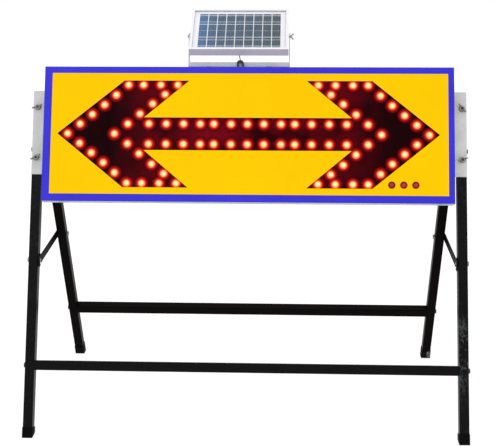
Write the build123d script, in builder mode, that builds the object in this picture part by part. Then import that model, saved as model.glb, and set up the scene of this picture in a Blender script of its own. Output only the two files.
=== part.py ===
from build123d import *
import os
from math import sin, cos, tan, radians

# Solar arrow board on a folding A-frame stand. Millimetres.
# +Z is up, the lit face looks towards -Y, X runs along the sign.

# ---- driving dimensions -------------------------------------------------
lean = 22.6            # front frame leans back from upright, degrees
splay = 19.2           # rear frame leans forward from upright, degrees
tube = 28.0            # square leg tube, outside
wall = 1.5             # tube wall
front_w = 1284.0       # outside width over the front legs
rear_gap = 6.0         # side gap between a front leg and the nested rear leg
foot_pitch = 595.0     # front plane of the front legs to that of the rear legs, at the floor
front_len = 1012.0     # front leg, floor to top, along the tube
hinge_s = 847.1        # hinge height along a front leg
hinge_r = 817.7        # hinge height along a rear leg
rear_over = 8.2        # rear leg stands past its hinge
sole_t = 3.0           # rubber under a tube end
cap_t = 1.5            # rubber wall round a tube end

sign_w, sign_h = 1200.0, 400.0
sign_s = 685.0         # bottom edge of the sign, along the legs
back_o, front_o = 3.0, 45.0   # sign depth measured forwards from the legs' front plane
sheet = 1.5
field_l, field_r, field_b, field_t = 23.0, 17.5, 22.0, 19.5   # blue border round the yellow field
lamp_r = 11.0
head_half, shaft_half = 158.5, 48.5

bar_s, rear_bar_s = 208.0, 198.5
stud_s, stay_r = 517.0, 505.0
stay_t, stay_w = 3.0, 22.0
bolt_s = (819.5, 971.5)       # wing bolts
bolt_r = 4.0
run = 0.05                    # radial running clearance

pan_w, pan_h, pan_t = 292.0, 182.0, 25.0
pan_x = -28.0
pan_lean = 55.5
pan_up = 21.0                 # the panel's middle stands this far up from its tilt axis
piv_o, piv_s = 18.0, 1184.5   # tilt axis, in the sign's own directions
os.makedirs("parts", exist_ok=True)

# ---- planes -------------------------------------------------------------
al, ga, ta = radians(lean), radians(splay), radians(pan_lean)
y_lo = -cap_t / cos(al)
y_hi = foot_pitch + (tube + cap_t) / cos(ga)
y_shift = -(y_lo + y_hi) / 2
u = Vector(0, sin(al), cos(al))
n = Vector(0, -cos(al), sin(al))
ur = Vector(0, -sin(ga), cos(ga))
nr = Vector(0, -cos(ga), -sin(ga))
F0 = Vector(0, y_shift, 0)
R0 = Vector(0, y_shift + foot_pitch, 0)
FRONT = Plane(origin=F0, x_dir=(1, 0, 0), z_dir=n)      # local x = X, y = up the front legs, z = forwards
REAR = Plane(origin=R0, x_dir=(1, 0, 0), z_dir=nr)      # the same for the rear legs
up_p = Vector(0, sin(ta), cos(ta))
n_p = Vector(0, -cos(ta), sin(ta))
piv = F0 + u * piv_s + n * piv_o + Vector(pan_x, 0, 0)
PANEL = Plane(origin=piv + up_p * pan_up, x_dir=(1, 0, 0), z_dir=n_p)   # local y = up the panel, z = out of its glass


def fp(s, o):
    """Side-view point of the front frame: s up the leg, o forwards of its front plane."""
    p = F0 + u * s + n * o
    return (p.Y, p.Z)


def rp(s, o):
    p = R0 + ur * s + nr * o
    return (p.Y, p.Z)


def f_at_z(z, o):
    """Where the line at offset o meets the height z."""
    return fp((z - o * sin(al)) / cos(al), o)


def r_at_z(z, o):
    return rp((z + o * sin(ga)) / cos(ga), o)


def prism(pts, x0, x1):
    with BuildPart() as p:
        with BuildSketch(Plane.YZ.offset(x0)):
            with BuildLine():
                Polyline(*pts, close=True)
            make_face()
        extrude(amount=x1 - x0)
    return p.part


def block(plane, x0, x1, y0, y1, z0, z1, r=0.0):
    with BuildPart() as p:
        with BuildSketch(plane.offset(z0)):
            with Locations(((x0 + x1) / 2, (y0 + y1) / 2)):
                if r:
                    RectangleRounded(x1 - x0, y1 - y0, r)
                else:
                    Rectangle(x1 - x0, y1 - y0)
        extrude(amount=z1 - z0)
    return p.part


def disc(plane, x, y, r, z0, z1):
    with BuildPart() as p:
        with BuildSketch(plane.offset(z0)):
            with Locations((x, y)):
                Circle(r)
        extrude(amount=z1 - z0)
    return p.part


def rod_x(yz, r, x0, x1):
    with BuildPart() as p:
        with BuildSketch(Plane.YZ.offset(min(x0, x1))):
            with Locations(yz):
                Circle(r)
        extrude(amount=abs(x1 - x0))
    return p.part


def hex_x(yz, across, x0, x1):
    with BuildPart() as p:
        with BuildSketch(Plane.YZ.offset(min(x0, x1))):
            with Locations(yz):
                RegularPolygon(across / 2, 6, major_radius=False)
        extrude(amount=abs(x1 - x0))
    return p.part


def sx(side, a, b):
    """An X range on the left (-1) or right (+1) side, low end first."""
    return (side * a, side * b) if side * a < side * b else (side * b, side * a)


def wing_nut(plane, x, y, z0, angle, reach=16.0, hub=7.0, bore=bolt_r + run, k=1.0):
    """Wing nut standing on plane at z0, bored for its bolt, wings turned by angle."""
    with BuildPart() as p:
        with BuildSketch(plane.offset(z0)):
            with Locations((x, y)):
                Circle(hub)
        extrude(amount=8 * k)
        fillet(p.edges().filter_by(GeomType.CIRCLE), 0.8 * k)
        pl = plane.offset(z0 + 2)
        c = plane.from_local_coords(Vector(x, y, z0))
        wx = plane.x_dir * cos(radians(angle)) + plane.y_dir * sin(radians(angle))
        side = Plane(origin=c, x_dir=wx, z_dir=wx.cross(plane.z_dir))   # local y = along the bolt
        with BuildSketch(side.offset(-1.6 * k)):
            with BuildLine():
                Polyline((2 * k, 2.5 * k), (reach - 4 * k, 5.5 * k), (reach, 9 * k), (reach, 15.5 * k), (reach - 3 * k, 17 * k),
                         (reach - 7 * k, 16 * k), (6 * k, 7.6 * k), (2 * k, 7.6 * k), close=True)
            make_face()
            with BuildLine():
                Polyline((-2 * k, 2.5 * k), (-reach + 4 * k, 5.5 * k), (-reach, 9 * k), (-reach, 15.5 * k), (-reach + 3 * k, 17 * k),
                         (-reach + 7 * k, 16 * k), (-6 * k, 7.6 * k), (-2 * k, 7.6 * k), close=True)
            make_face()
        extrude(amount=3.2 * k)
        with BuildSketch(plane.offset(z0 - 1)):
            with Locations((x, y)):
                Circle(bore)
        extrude(amount=30, mode=Mode.SUBTRACT)
    return p.part


def out(name, node, label):
    name.part.label = label
    export_step(name.part, f"parts/{node}.step")


half = front_w / 2                 # 642
inner = half - tube                # 614
r_out = inner - rear_gap           # 608
r_in = r_out - tube                # 580
hinge_yz = fp(hinge_s, -tube / 2)
stud_yz = fp(stud_s, -tube / 2)
stay_yz = rp(stay_r, -tube / 2)
head_x = half + 5.0

# ---- front legs ---------------------------------------------------------
leg_side = [f_at_z(sole_t, 0), fp(front_len - 2, 0), fp(front_len - 2, -tube), f_at_z(sole_t, -tube)]
leg_core = [f_at_z(-40, -wall), fp(front_len + 20, -wall), fp(front_len + 20, -tube + wall), f_at_z(-40, -tube + wall)]
for side, nm in ((-1, "left"), (1, "right")):
    a, b = sx(side, inner, half)
    with BuildPart() as front_leg:
        add(prism(leg_side, a, b))
        edges = front_leg.edges().filter_by(lambda e: e.length > 900)
        fillet(edges, 2.0)
        add(prism(leg_core, a + wall, b - wall), mode=Mode.SUBTRACT)
        for yz in (hinge_yz, stud_yz, fp(bar_s, -tube / 2)):
            add(rod_x(yz, bolt_r, a - 1, b + 1), mode=Mode.SUBTRACT)
        for s in bolt_s:
            add(disc(FRONT, (a + b) / 2, s, bolt_r, -tube - 1, 1), mode=Mode.SUBTRACT)
    out(front_leg, f"front_leg_{nm}", f"front leg {nm}")

# ---- front bar, square tube butted between the legs, closed by end plates
with BuildPart() as front_bar:
    add(block(FRONT, -inner, inner, bar_s - tube / 2, bar_s + tube / 2, -tube, 0))
    fillet(front_bar.edges().filter_by(Axis.X), 2.0)
    add(block(FRONT, -inner + 6, inner - 6, bar_s - tube / 2 + wall, bar_s + tube / 2 - wall, -tube + wall, -wall),
        mode=Mode.SUBTRACT)
    add(rod_x(fp(bar_s, -tube / 2), bolt_r, -inner - 1, inner + 1), mode=Mode.SUBTRACT)
out(front_bar, "front_bar", "front cross bar")


def bar_bolts(yz, x_tip, x_face):
    with BuildPart() as p:
        for side in (-1, 1):
            add(rod_x(yz, bolt_r, side * x_tip, side * x_face))
            add(rod_x(yz, 8.0, side * x_face, side * (x_face + 1.2)))
            add(hex_x(yz, 13.0, side * (x_face + 1.2), side * (x_face + 5.0)))
    return p


front_bar_bolts = bar_bolts(fp(bar_s, -tube / 2), inner - 14, half)
out(front_bar_bolts, "front_bar_bolts", "front bar bolts")

# ---- rubber feet and top plugs -----------------------------------------
foot_top = 30.0
front_foot = [f_at_z(0, cap_t), fp(foot_top, cap_t), fp(foot_top, -tube - cap_t), f_at_z(0, -tube - cap_t)]
front_foot_core = [f_at_z(sole_t, 0), fp(foot_top + 5, 0), fp(foot_top + 5, -tube), f_at_z(sole_t, -tube)]
with BuildPart() as front_feet:
    for side in (-1, 1):
        a, b = sx(side, inner - cap_t, half + cap_t)
        add(prism(front_foot, a, b))
    fillet(front_feet.edges().filter_by(lambda e: abs((e @ 1 - e @ 0).Z) > 20), 3.0)
    for side in (-1, 1):
        a, b = sx(side, inner, half)
        add(prism(front_foot_core, a, b), mode=Mode.SUBTRACT)
out(front_feet, "front_feet", "front rubber feet")

with BuildPart() as top_plugs:
    for side in (-1, 1):
        a, b = sx(side, inner, half)
        add(prism([fp(front_len - 2, 0), fp(front_len, -1), fp(front_len, 1 - tube), fp(front_len - 2, -tube)], a, b))
        add(prism([fp(front_len - 14, -wall - 0.2), fp(front_len - 2, -wall - 0.2),
                   fp(front_len - 2, -tube + wall + 0.2), fp(front_len - 14, -tube + wall + 0.2)],
                  a + wall + 0.2, b - wall - 0.2))
out(top_plugs, "front_leg_plugs", "front leg end plugs")

# ---- rear frame ---------------------------------------------------------
rear_len = hinge_r + rear_over


def end_cut(x0, x1):
    """What the rounded top end of a rear leg leaves off, so that it clears the bracket when it folds."""
    with BuildPart() as p:
        add(prism([rp(hinge_r, 20), rp(hinge_r + 40, 20), rp(hinge_r + 40, -tube - 20), rp(hinge_r, -tube - 20)], x0, x1))
        add(rod_x(rp(hinge_r, -tube / 2), 13.4, x0 - 1, x1 + 1), mode=Mode.SUBTRACT)
    return p.part


rleg_side = [r_at_z(sole_t, 0), rp(rear_len - 2, 0), rp(rear_len - 2, -tube), r_at_z(sole_t, -tube)]
rleg_core = [r_at_z(-40, -wall), rp(rear_len + 20, -wall), rp(rear_len + 20, -tube + wall), r_at_z(-40, -tube + wall)]
for side, nm in ((-1, "left"), (1, "right")):
    a, b = sx(side, r_in, r_out)
    with BuildPart() as rear_leg:
        add(prism(rleg_side, a, b))
        fillet(rear_leg.edges().filter_by(lambda e: e.length > 700), 2.0)
        add(prism(rleg_core, a + wall, b - wall), mode=Mode.SUBTRACT)
        add(rod_x(hinge_yz, bolt_r + run, a - 1, b + 1), mode=Mode.SUBTRACT)
        for yz in (stay_yz, rp(rear_bar_s, -tube / 2)):
            add(rod_x(yz, bolt_r, a - 1, b + 1), mode=Mode.SUBTRACT)
        # the top corner is mitred to clear the sign when the stand is open
        add(end_cut(a - 1, b + 1), mode=Mode.SUBTRACT)
    out(rear_leg, f"rear_leg_{nm}", f"rear leg {nm}")

with BuildPart() as rear_bar:
    add(block(REAR, -r_in, r_in, rear_bar_s - tube / 2, rear_bar_s + tube / 2, -tube, 0))
    fillet(rear_bar.edges().filter_by(Axis.X), 2.0)
    add(block(REAR, -r_in + 6, r_in - 6, rear_bar_s - tube / 2 + wall, rear_bar_s + tube / 2 - wall, -tube + wall, -wall),
        mode=Mode.SUBTRACT)
    add(rod_x(rp(rear_bar_s, -tube / 2), bolt_r, -r_in - 1, r_in + 1), mode=Mode.SUBTRACT)
out(rear_bar, "rear_bar", "rear cross bar")

rear_bar_bolts = bar_bolts(rp(rear_bar_s, -tube / 2), r_in - 14, r_out)
out(rear_bar_bolts, "rear_bar_bolts", "rear bar bolts")

rear_foot = [r_at_z(0, cap_t), rp(foot_top, cap_t), rp(foot_top, -tube - cap_t), r_at_z(0, -tube - cap_t)]
rear_foot_core = [r_at_z(sole_t, 0), rp(foot_top + 5, 0), rp(foot_top + 5, -tube), r_at_z(sole_t, -tube)]
with BuildPart() as rear_feet:
    for side in (-1, 1):
        a, b = sx(side, r_in - cap_t, r_out + cap_t)
        add(prism(rear_foot, a, b))
    fillet(rear_feet.edges().filter_by(lambda e: abs((e @ 1 - e @ 0).Z) > 20), 3.0)
    for side in (-1, 1):
        a, b = sx(side, r_in, r_out)
        add(prism(rear_foot_core, a, b), mode=Mode.SUBTRACT)
out(rear_feet, "rear_feet", "rear rubber feet")

with BuildPart() as rear_plugs:
    for side in (-1, 1):
        a, b = sx(side, r_in, r_out)
        add(prism([rp(rear_len - 2, 0), rp(rear_len, -1), rp(rear_len, 1 - tube), rp(rear_len - 2, -tube)], a, b))
        add(prism([rp(rear_len - 3.8, -wall - 0.2), rp(rear_len - 2, -wall - 0.2),
                   rp(rear_len - 2, -tube + wall + 0.2), rp(rear_len - 3.8, -tube + wall + 0.2)],
                  a + wall + 0.2, b - wall - 0.2))
    add(end_cut(-620, 620), mode=Mode.SUBTRACT)
out(rear_plugs, "rear_leg_plugs", "rear leg end plugs")

# ---- hinge bolts, with nut inside the rear leg and a nylon spacer between
with BuildPart() as hinge_bolts:
    for side in (-1, 1):
        add(rod_x(hinge_yz, bolt_r, side * (r_in - 9), side * half))
        add(hex_x(hinge_yz, 13.0, side * half, side * head_x))
        add(hex_x(hinge_yz, 13.0, side * (r_in - 7.3), side * (r_in - 0.3)))
out(hinge_bolts, "hinge_bolts", "hinge bolts and nuts")

with BuildPart() as hinge_spacers:
    for side in (-1, 1):
        add(rod_x(hinge_yz, 10.0, side * (r_out + 0.2), side * inner))
        add(rod_x(hinge_yz, bolt_r, side * (r_out - 1), side * (inner + 1)), mode=Mode.SUBTRACT)
out(hinge_spacers, "hinge_spacers", "hinge spacers")

# ---- stays: flat bars pivoted on the rear legs, hooked over studs on the front legs
with BuildPart() as stay_studs:
    for side in (-1, 1):
        add(rod_x(stud_yz, bolt_r, side * (inner - 5.2), side * half))
        add(hex_x(stud_yz, 13.0, side * half, side * head_x))
out(stay_studs, "stay_studs", "stay studs on the front legs")

with BuildPart() as stay_pivots:
    for side in (-1, 1):
        add(rod_x(stay_yz, bolt_r, side * (r_in), side * (r_out + 5.2)))
        add(hex_x(stay_yz, 13.0, side * (r_in - 6), side * r_in))
out(stay_pivots, "stay_pivots", "stay pivot bolts on the rear legs")

sv = Vector(0, stud_yz[0] - stay_yz[0], stud_yz[1] - stay_yz[1])
stay_len = sv.length
sd = sv.normalized()                       # from the rear pivot to the stud
for side, nm in ((-1, "left"), (1, "right")):
    x0, x1 = sx(side, r_out + 1.3, r_out + 1.3 + stay_t)
    # local x runs from the pivot towards the stud, y upwards, origin on the pivot
    sp = Plane(origin=(x0, stay_yz[0], stay_yz[1]), x_dir=sd, z_dir=(-1, 0, 0))
    with BuildPart() as stay:
        with BuildSketch(sp.offset(-(x1 - x0))):
            with Locations((stay_len / 2, 0)):
                Rectangle(stay_len, stay_w)
            Circle(stay_w / 2)
            with Locations((stay_len + 4, -1)):
                RectangleRounded(34, stay_w + 10, 4)
            with Locations((stay_len, 0)):
                Circle(bolt_r + 0.3, mode=Mode.SUBTRACT)
            with BuildLine():
                Polyline((stay_len + bolt_r + 0.3, 0), (stay_len - bolt_r - 0.3, 0),
                         (stay_len - 22, -30), (stay_len + bolt_r + 0.3, -30), close=True)
            make_face(mode=Mode.SUBTRACT)
            Circle(bolt_r + run, mode=Mode.SUBTRACT)
        extrude(amount=x1 - x0)
    out(stay, f"stay_{nm}", f"stay {nm}")

# ---- sign housing: a shallow sheet tray, open at the front ---------------
hx = sign_w / 2
s0, s1 = sign_s, sign_s + sign_h
tray_front = front_o - 2.0
sc = (s0 + s1) / 2
cover = (-150.0, 150.0, 770.0, 960.0)
gland_x, gland_o = -23.0, 31.0
with BuildPart() as sign_housing:
    add(block(FRONT, -hx, hx, s0, s1, back_o, tray_front))
    add(block(FRONT, -hx + sheet, hx - sheet, s0 + sheet, s1 - sheet, back_o + sheet, tray_front + 5), mode=Mode.SUBTRACT)
    add(block(FRONT, cover[0] + 12, cover[1] - 12, cover[2] + 12, cover[3] - 12, back_o - 1, back_o + 3), mode=Mode.SUBTRACT)
    with BuildSketch(FRONT.offset(back_o - 1)):
        for gx in (cover[0] + 6, 0, cover[1] - 6):
            for gy in (cover[2] + 6, cover[3] - 6):
                with Locations((gx, gy)):
                    Circle(1.5)
        with Locations((-380, 760)):
            Rectangle(26.4, 12.4)
    extrude(amount=3, mode=Mode.SUBTRACT)
    # cable gland hole and the two yoke screws in the top face
    TOP = Plane(origin=F0 + u * s1, x_dir=(1, 0, 0), z_dir=u)   # local y = backwards (-n)
    with BuildSketch(TOP.offset(-3)):
        with Locations((gland_x, -gland_o)):
            Circle(6.0)
        with Locations((pan_x - 90, -14), (pan_x + 90, -14)):
            Circle(2.5)
    extrude(amount=5, mode=Mode.SUBTRACT)
out(sign_housing, "sign_housing", "sign housing")

with BuildPart() as rear_cover:
    add(block(FRONT, cover[0], cover[1], cover[2], cover[3], 1.2, back_o, 6))
    with BuildSketch(FRONT.offset(0.5)):
        for gx in (cover[0] + 6, 0, cover[1] - 6):
            for gy in (cover[2] + 6, cover[3] - 6):
                with Locations((gx, gy)):
                    Circle(1.5)
    extrude(amount=3, mode=Mode.SUBTRACT)
out(rear_cover, "rear_cover", "battery cover")

with BuildPart() as cover_screws:
    for gx in (cover[0] + 6, 0, cover[1] - 6):
        for gy in (cover[2] + 6, cover[3] - 6):
            add(disc(FRONT, gx, gy, 3.0, -0.6, 1.2))
            add(disc(FRONT, gx, gy, 1.5, 1.2, 9.0))
out(cover_screws, "cover_screws", "cover screws")

# ---- arrow outline, lamps and face ---------------------------------------
arrow = [(-558, 0), (-363, head_half), (-172, head_half), (-303, shaft_half), (303, shaft_half), (172, head_half),
         (363, head_half), (558, 0), (363, -head_half), (172, -head_half), (303, -shaft_half), (-303, -shaft_half),
         (-172, -head_half), (-363, -head_half)]
arrow = [(x, y + sc) for x, y in arrow]
quarter = [(492, 29), (456.5, 57), (421, 86), (387, 115.5), (351, 146), (307, 146), (256, 146), (206, 146),
           (243, 117.5), (279, 89.5), (316, 59)]
lamps = [(sg * x, sv_ * y) for sg in (-1, 1) for sv_ in (-1, 1) for x, y in quarter]
lamps += [(sg * x, y) for sg in (-1, 1) for x, y in ((528, 0), (351, 29.5), (390, 0), (351, -29.5))]
row = [48.0, 98.0, 138.0, 187.0, 238.0, 289.0]
lamps += [(x, y) for x in [-r for r in row[::-1]] + [0.0] + row for y in (30, -30)]
lamps = [(x, y + sc) for x, y in lamps]
marks = [(418.5, sc - 147.0), (453.0, sc - 147.0), (487.5, sc - 147.0)]

with BuildPart() as face_panel:
    with BuildSketch(FRONT.offset(tray_front)):
        with Locations((0, sc)):
            Rectangle(sign_w, sign_h)
        with BuildLine():
            Polyline(*arrow, close=True)
        make_face(mode=Mode.SUBTRACT)
        with Locations(*marks):
            Circle(8.2, mode=Mode.SUBTRACT)
    extrude(amount=front_o - tray_front)
out(face_panel, "face_panel", "blue face sheet")

with BuildPart() as yellow_field:
    with BuildSketch(FRONT.offset(front_o)):
        with Locations(((field_l - field_r) / 2, sc + (field_b - field_t) / 2)):
            Rectangle(sign_w - field_l - field_r, sign_h - field_b - field_t)
        with BuildLine():
            Polyline(*arrow, close=True)
        make_face(mode=Mode.SUBTRACT)
        with Locations(*marks):
            Circle(8.2, mode=Mode.SUBTRACT)
    extrude(amount=0.4)
out(yellow_field, "yellow_field", "yellow reflective sheet")

with BuildPart() as arrow_window:
    with BuildSketch(FRONT.offset(tray_front - 3)):
        with BuildLine():
            Polyline(*arrow, close=True)
        make_face()
        offset(amount=9, kind=Kind.INTERSECTION)
        with Locations(*lamps):
            Circle(lamp_r + 0.15, mode=Mode.SUBTRACT)
        with Locations(*marks):
            Circle(9.6, mode=Mode.SUBTRACT)
    extrude(amount=3)
out(arrow_window, "arrow_window", "smoked arrow window")

board_o = 30.0
with BuildPart() as arrow_lamps:
    with BuildSketch(FRONT.offset(board_o + 1.6)):
        with Locations(*lamps):
            Circle(lamp_r)
    extrude(amount=44.4 - board_o - 1.6)
    tops = arrow_lamps.edges().filter_by(GeomType.CIRCLE).group_by(Axis(tuple(F0), tuple(n)))[-1]
    fillet(tops, 2.2)
out(arrow_lamps, "arrow_lamps", "amber arrow lamps")

with BuildPart() as indicator_lamps:
    with BuildSketch(FRONT.offset(board_o + 1.6)):
        with Locations(*marks):
            Circle(6.5)
    extrude(amount=front_o + 2.6 - board_o - 1.6)
    fillet(indicator_lamps.edges().filter_by(GeomType.CIRCLE).group_by(Axis(tuple(F0), tuple(n)))[-1], 2.4)
out(indicator_lamps, "indicator_lamps", "red marker lamps")

with BuildPart() as indicator_bezels:
    with BuildSketch(FRONT.offset(front_o - 4)):
        with Locations(*marks):
            Circle(8.1)
    extrude(amount=4.4)
    with BuildSketch(FRONT.offset(front_o + 0.4)):
        with Locations(*marks):
            Circle(10.5)
    extrude(amount=1.4)
    fillet(indicator_bezels.edges().filter_by(GeomType.CIRCLE).group_by(Axis(tuple(F0), tuple(n)))[-1], 1.0)
    with BuildSketch(FRONT.offset(front_o - 5)):
        with Locations(*marks):
            Circle(6.6)
    extrude(amount=9, mode=Mode.SUBTRACT)
out(indicator_bezels, "indicator_bezels", "marker lamp bezels")

posts = [(x, y) for x in (-540, -130, 130, 540) for y in (sc - 150, sc + 150)]
with BuildPart() as lamp_board:
    add(block(FRONT, -575, 575, sc - 175, sc + 175, board_o, board_o + 1.6))
    with BuildSketch(FRONT.offset(board_o - 1)):
        with Locations(*posts):
            Circle(1.6)
    extrude(amount=4, mode=Mode.SUBTRACT)
out(lamp_board, "lamp_board", "lamp circuit board")

with BuildPart() as board_posts:
    with BuildSketch(FRONT.offset(back_o + sheet)):
        with Locations(*posts):
            RegularPolygon(4.0, 6)
    extrude(amount=board_o - back_o - sheet)
    with BuildSketch(FRONT.offset(board_o)):
        with Locations(*posts):
            Circle(1.6)
    extrude(amount=3.0)
out(board_posts, "board_posts", "board stand-offs")

with BuildPart() as battery:
    add(block(FRONT, -125, 15, 805, 925, back_o, 26, 4))
out(battery, "battery", "battery")
with BuildPart() as battery_strap:
    add(block(FRONT, -65, -45, 790, 940, back_o, 27.2))
    add(block(FRONT, -66, -44, 804.9, 925.1, back_o - 1, 26), mode=Mode.SUBTRACT)
    add(block(FRONT, -66, -44, 780, 803.7, back_o + 1.2, 30), mode=Mode.SUBTRACT)
    add(block(FRONT, -66, -44, 926.3, 950, back_o + 1.2, 30), mode=Mode.SUBTRACT)
out(battery_strap, "battery_strap", "battery strap")
with BuildPart() as controller:
    add(block(FRONT, 40, 125, 820, 910, back_o, 22, 3))
    with BuildSketch(FRONT.offset(22)):
        with Locations((60, 835), (80, 835), (100, 835)):
            Rectangle(12, 10)
    extrude(amount=5)
out(controller, "charge_controller", "charge and flash controller")

# ---- rocker switch in the back of the housing ---------------------------
swx, sws = -380.0, 760.0
with BuildPart() as switch_body:
    add(block(FRONT, swx - 15, swx + 15, sws - 8, sws + 8, 0.6, back_o))
    add(block(FRONT, swx - 13, swx + 13, sws - 6, sws + 6, back_o, 20))
    add(block(FRONT, swx - 11.2, swx + 11.2, sws - 4.7, sws + 4.7, -2, 10), mode=Mode.SUBTRACT)
    for x in (-7, 0, 7):
        add(block(FRONT, swx + x - 2, swx + x + 2, sws - 0.4, sws + 0.4, 20, 26))
    ax = FRONT.from_local_coords(Vector(swx, sws, 3.6))
    SA = Plane(origin=ax, x_dir=n, z_dir=u)
    add(disc(SA, 0, 0, 1.0, -4.8, 4.8))
out(switch_body, "switch_body", "switch body")
with BuildPart() as switch_rocker:
    with BuildSketch(SA.offset(-4.5)):
        with BuildLine():
            Polyline((-3.1, -10.2), (-1.8, 0), (-4.9, 10.2), (1.2, 10.2), (3.4, 1.8), (3.4, -1.8), (1.2, -10.2), close=True)
        make_face()
    extrude(amount=9.0)
    with BuildSketch(SA.offset(-6)):
        Circle(1.0 + run)
    extrude(amount=12, mode=Mode.SUBTRACT)
out(switch_rocker, "switch_rocker", "switch rocker")

# ---- side brackets, bolted to the front faces of the legs ---------------
mid_leg = (inner + half) / 2
for side, nm in ((-1, "left"), (1, "right")):
    with BuildPart() as side_bracket:
        a, b = sx(side, hx + 0.2, half)
        add(block(FRONT, a, b, 769.5, 1021.5, 0, 3.0))
        a, b = sx(side, hx, hx + 3.0)
        add(block(FRONT, a, b, 769.5, 1021.5, 0, 30.0))
        for s in bolt_s:
            add(disc(FRONT, side * mid_leg, s, bolt_r + 0.3, -1, 5), mode=Mode.SUBTRACT)
        for s in (800, 870, 920, 990):
            with BuildSketch(Plane.YZ.offset(min(side * (hx - 1), side * (hx + 5)))):
                with Locations(fp(s, 18)):
                    Circle(2.4)
            extrude(amount=6, mode=Mode.SUBTRACT)
    out(side_bracket, f"side_bracket_{nm}", f"side bracket {nm}")
with BuildPart() as bracket_rivets:
    for side in (-1, 1):
        for s in (800, 870, 920, 990):
            add(rod_x(fp(s, 18), 4.4, side * (hx + 3), side * (hx + 4.6)))
            add(rod_x(fp(s, 18), 2.4, side * hx, side * (hx + 3)))
out(bracket_rivets, "bracket_rivets", "bracket rivets")

with BuildPart() as sign_bolts:
    for side in (-1, 1):
        for s in bolt_s:
            add(disc(FRONT, side * mid_leg, s, 8.0, -tube - 2.6, -tube))
            add(disc(FRONT, side * mid_leg, s, bolt_r, -tube, 14.6))
out(sign_bolts, "sign_bolts", "sign bolts")
with BuildPart() as sign_washers:
    for side in (-1, 1):
        for s in bolt_s:
            add(disc(FRONT, side * mid_leg, s, 9.5, 3.0, 4.6))
            add(disc(FRONT, side * mid_leg, s, bolt_r, 2, 6), mode=Mode.SUBTRACT)
out(sign_washers, "sign_washers", "sign bolt washers")
for nm, side, s, ang in (("left_low", -1, bolt_s[0], 28), ("left_high", -1, bolt_s[1], 20),
                         ("right_low", 1, bolt_s[0], 15), ("right_high", 1, bolt_s[1], -50)):
    with BuildPart() as wing:
        add(wing_nut(FRONT, side * mid_leg, s, 4.65, ang))
    out(wing, f"wing_nut_{nm}", f"wing nut {nm}".replace("_", " "))

# ---- solar panel yoke ----------------------------------------------------
arm_in = pan_w / 2 + 1.5
arm_out = arm_in + 3.0
base0, base1 = s1 + 8.0, s1 + 11.0
lip_o = 22.0
with BuildPart() as yoke:
    add(block(FRONT, pan_x - arm_out, pan_x + arm_out, base0, base1, 4.0, lip_o))
    add(block(FRONT, pan_x - arm_out, pan_x + arm_out, base0, base0 + 12.5, lip_o - 3.0, lip_o))
    for side in (-1, 1):
        a, b = sx(side, arm_in, arm_out)
        with BuildSketch(Plane.YZ.offset(pan_x + a)):
            with BuildLine():
                Polyline(fp(base0, 4), fp(base0, lip_o), fp(base0 + 12.5, lip_o), fp(piv_s, piv_o + 11), fp(piv_s + 11, piv_o),
                         fp(piv_s, piv_o - 11), fp(base1 + 6, 4), close=True)
            make_face()
            with Locations(fp(piv_s, piv_o)):
                Circle(11)
        extrude(amount=b - a)
    add(rod_x(fp(piv_s, piv_o), 2.5 + run, pan_x - arm_out - 1, pan_x + arm_out + 1), mode=Mode.SUBTRACT)
    with BuildSketch(TOP.offset(5)):
        with Locations((pan_x - 90, -14), (pan_x + 90, -14)):
            Circle(2.5)
    extrude(amount=10, mode=Mode.SUBTRACT)
out(yoke, "panel_yoke", "solar panel yoke")
with BuildPart() as yoke_spacers:
    with BuildSketch(TOP):
        with Locations((pan_x - 90, -14), (pan_x + 90, -14)):
            Circle(6.5)
            Circle(2.5, mode=Mode.SUBTRACT)
    extrude(amount=8)
out(yoke_spacers, "yoke_spacers", "yoke spacers")
with BuildPart() as yoke_screws:
    with BuildSketch(TOP.offset(-7)):
        with Locations((pan_x - 90, -14), (pan_x + 90, -14)):
            Circle(2.5)
    extrude(amount=18)
    with BuildSketch(TOP.offset(11)):
        with Locations((pan_x - 90, -14), (pan_x + 90, -14)):
            Circle(4.6)
    extrude(amount=3)
out(yoke_screws, "yoke_screws", "yoke screws")

# ---- cable gland and panel cable ----------------------------------------
cable_r = 1.8
with BuildPart() as cable_gland:
    with BuildSketch(TOP):
        with Locations((gland_x, -gland_o)):
            RegularPolygon(8.6, 6)
    extrude(amount=6)
    with BuildSketch(TOP.offset(6)):
        with Locations((gland_x, -gland_o)):
            Circle(7.0)
    extrude(amount=10)
    with BuildSketch(TOP.offset(16)):
        with Locations((gland_x, -gland_o)):
            Circle(6.4)
    extrude(amount=6, taper=22)
    with BuildSketch(TOP.offset(-8)):
        with Locations((gland_x, -gland_o)):
            Circle(6.0)
    extrude(amount=8)
    with BuildSketch(TOP.offset(-9)):
        with Locations((gland_x, -gland_o)):
            Circle(2.6)
    extrude(amount=34, mode=Mode.SUBTRACT)
out(cable_gland, "cable_gland", "cable gland")

# black guard arch that stands in front of the gland
with BuildPart() as gland_guard:
    with BuildSketch(FRONT.offset(39.4)):
        with BuildLine():
            Polyline((gland_x - 10.5, s1), (gland_x - 10.5, s1 + 15), (gland_x - 6.5, s1 + 20.5), (gland_x + 5.5, s1 + 20.5),
                     (gland_x + 9.5, s1 + 15), (gland_x + 11.5, s1), (gland_x + 6.2, s1), (gland_x + 4.0, s1 + 13.2),
                     (gland_x - 5.0, s1 + 13.2), (gland_x - 5.0, s1), close=True)
        make_face()
    extrude(amount=4.2)
out(gland_guard, "gland_guard", "cable gland guard")


def pl(w, h):
    """Side-view point of the panel: w up the panel from its tilt axis, h out of its glass."""
    return piv + up_p * w + n_p * h


lead_slant = -0.2      # the lead drifts sideways as it climbs


def lead_pt(s, o):
    q = F0 + u * s + n * o
    return Vector(gland_x + lead_slant * (s - (s1 + 19)), q.Y, q.Z)


def so(q):
    d = q - F0
    return (d.Y * sin(al) + d.Z * cos(al), -d.Y * cos(al) + d.Z * sin(al))


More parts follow.
